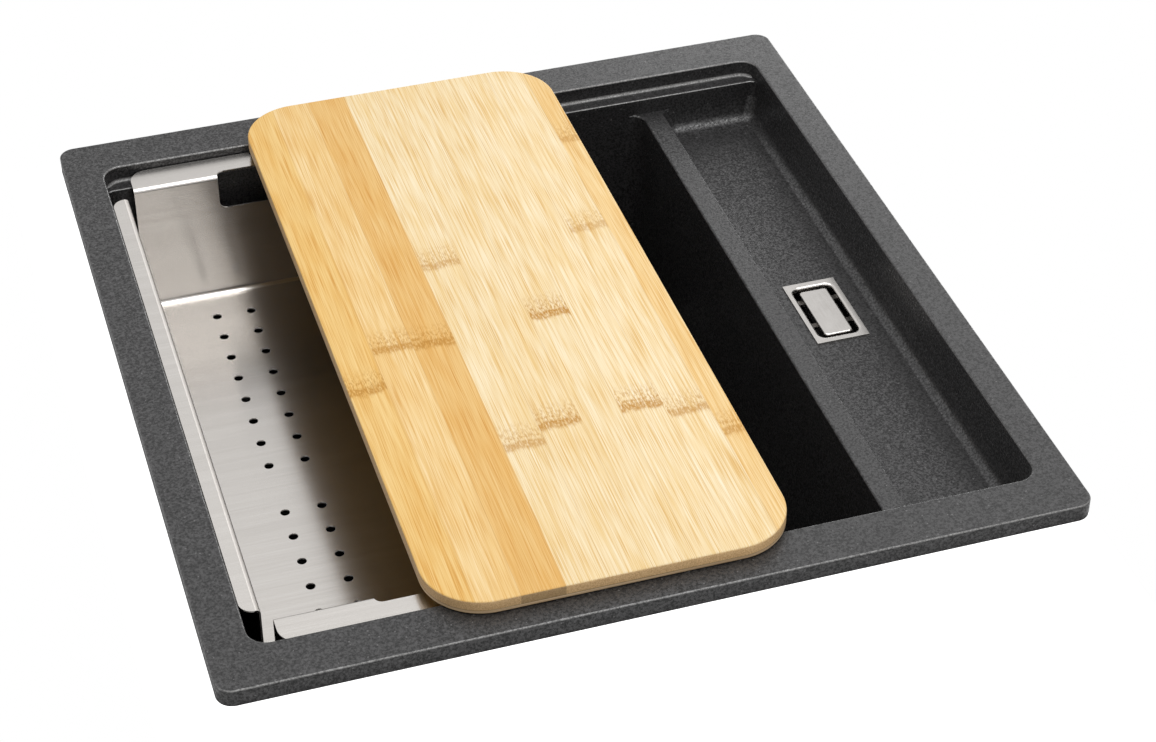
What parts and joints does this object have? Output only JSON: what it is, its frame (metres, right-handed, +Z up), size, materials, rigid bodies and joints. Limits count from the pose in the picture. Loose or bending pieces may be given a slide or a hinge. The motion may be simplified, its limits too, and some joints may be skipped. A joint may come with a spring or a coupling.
{
  "type": "workstation kitchen sink",
  "caption": "Inset composite sink with a bowl and a shallow trough, a sliding folded-sheet colander, a sliding bamboo board, a strainer waste and a trough overflow.",
  "frame": {"origin": "centre of the worktop cut-out, in the plane of the worktop's top face that the underside of the rim rests on", "axes": "+X from the bowl towards the trough, +Y towards the back of the sink, +Z up out of the worktop"},
  "size_m": [0.51, 0.54, 0.305],
  "materials": {
    "granite_composite": "fine speckled matt",
    "brushed_steel": "brushed",
    "bamboo": "oiled",
    "seal_rubber": "matt",
    "waste_plastic": "satin",
    "brass": "turned"
  },
  "bodies": {
    "sink": {"sink_body": "granite_composite", "rim_seal": "seal_rubber", "clip_inserts": "brass", "clip_screws": "brushed_steel", "waste_flange": "brushed_steel", "waste_top_seal": "seal_rubber", "waste_bottom_seal": "seal_rubber", "waste_body": "waste_plastic", "waste_screw": "brushed_steel", "overflow_frame": "brushed_steel", "overflow_gasket": "seal_rubber", "overflow_housing": "waste_plastic", "overflow_screws": "brushed_steel", "overflow_hose": "waste_plastic", "hose_nut_upper": "waste_plastic", "hose_nut_lower": "waste_plastic"},
    "front_left_clip": {"clip_jaw_front_left": "brushed_steel"},
    "front_right_clip": {"clip_jaw_front_right": "brushed_steel"},
    "back_left_clip": {"clip_jaw_back_left": "brushed_steel"},
    "back_right_clip": {"clip_jaw_back_right": "brushed_steel"},
    "strainer_basket": {"basket_cup": "brushed_steel", "basket_knob": "brushed_steel", "basket_seal": "seal_rubber"},
    "overflow_plate": {"overflow_cover": "brushed_steel"},
    "sliding_colander": {"colander": "brushed_steel", "colander_rests": "seal_rubber"},
    "sliding_board": {"chopping_board": "bamboo"}
  },
  "joints": [
    {"name": "board_slide", "type": "slide", "parent": "sink", "child": "sliding_board", "axis": [1, 0, 0], "range_m": [-0.118, 0.167]},
    {"name": "colander_slide", "type": "slide", "parent": "sink", "child": "sliding_colander", "axis": [1, 0, 0], "range_m": [0, 0.14]},
    {"name": "overflow_cover_lift", "type": "slide", "parent": "sink", "child": "overflow_plate", "axis": [0, 0, 1], "range_m": [0, 0.06]},
    {"name": "basket_lift", "type": "slide", "parent": "sink", "child": "strainer_basket", "axis": [0, 0, 1], "range_m": [0, 0.06]},
    {"name": "front_left_clip_turn", "type": "hinge", "parent": "sink", "child": "front_left_clip", "pos_m": [-0.15, -0.252, -0.05], "axis": [0, 0, 1], "range_deg": [-90, 0]},
    {"name": "front_right_clip_turn", "type": "hinge", "parent": "sink", "child": "front_right_clip", "pos_m": [0.15, -0.252, -0.05], "axis": [0, 0, 1], "range_deg": [0, 90]},
    {"name": "back_left_clip_turn", "type": "hinge", "parent": "sink", "child": "back_left_clip", "pos_m": [-0.15, 0.252, -0.05], "axis": [0, 0, 1], "range_deg": [0, 90]},
    {"name": "back_right_clip_turn", "type": "hinge", "parent": "sink", "child": "back_right_clip", "pos_m": [0.15, 0.252, -0.05], "axis": [0, 0, 1], "range_deg": [-90, 0]}
  ]
}
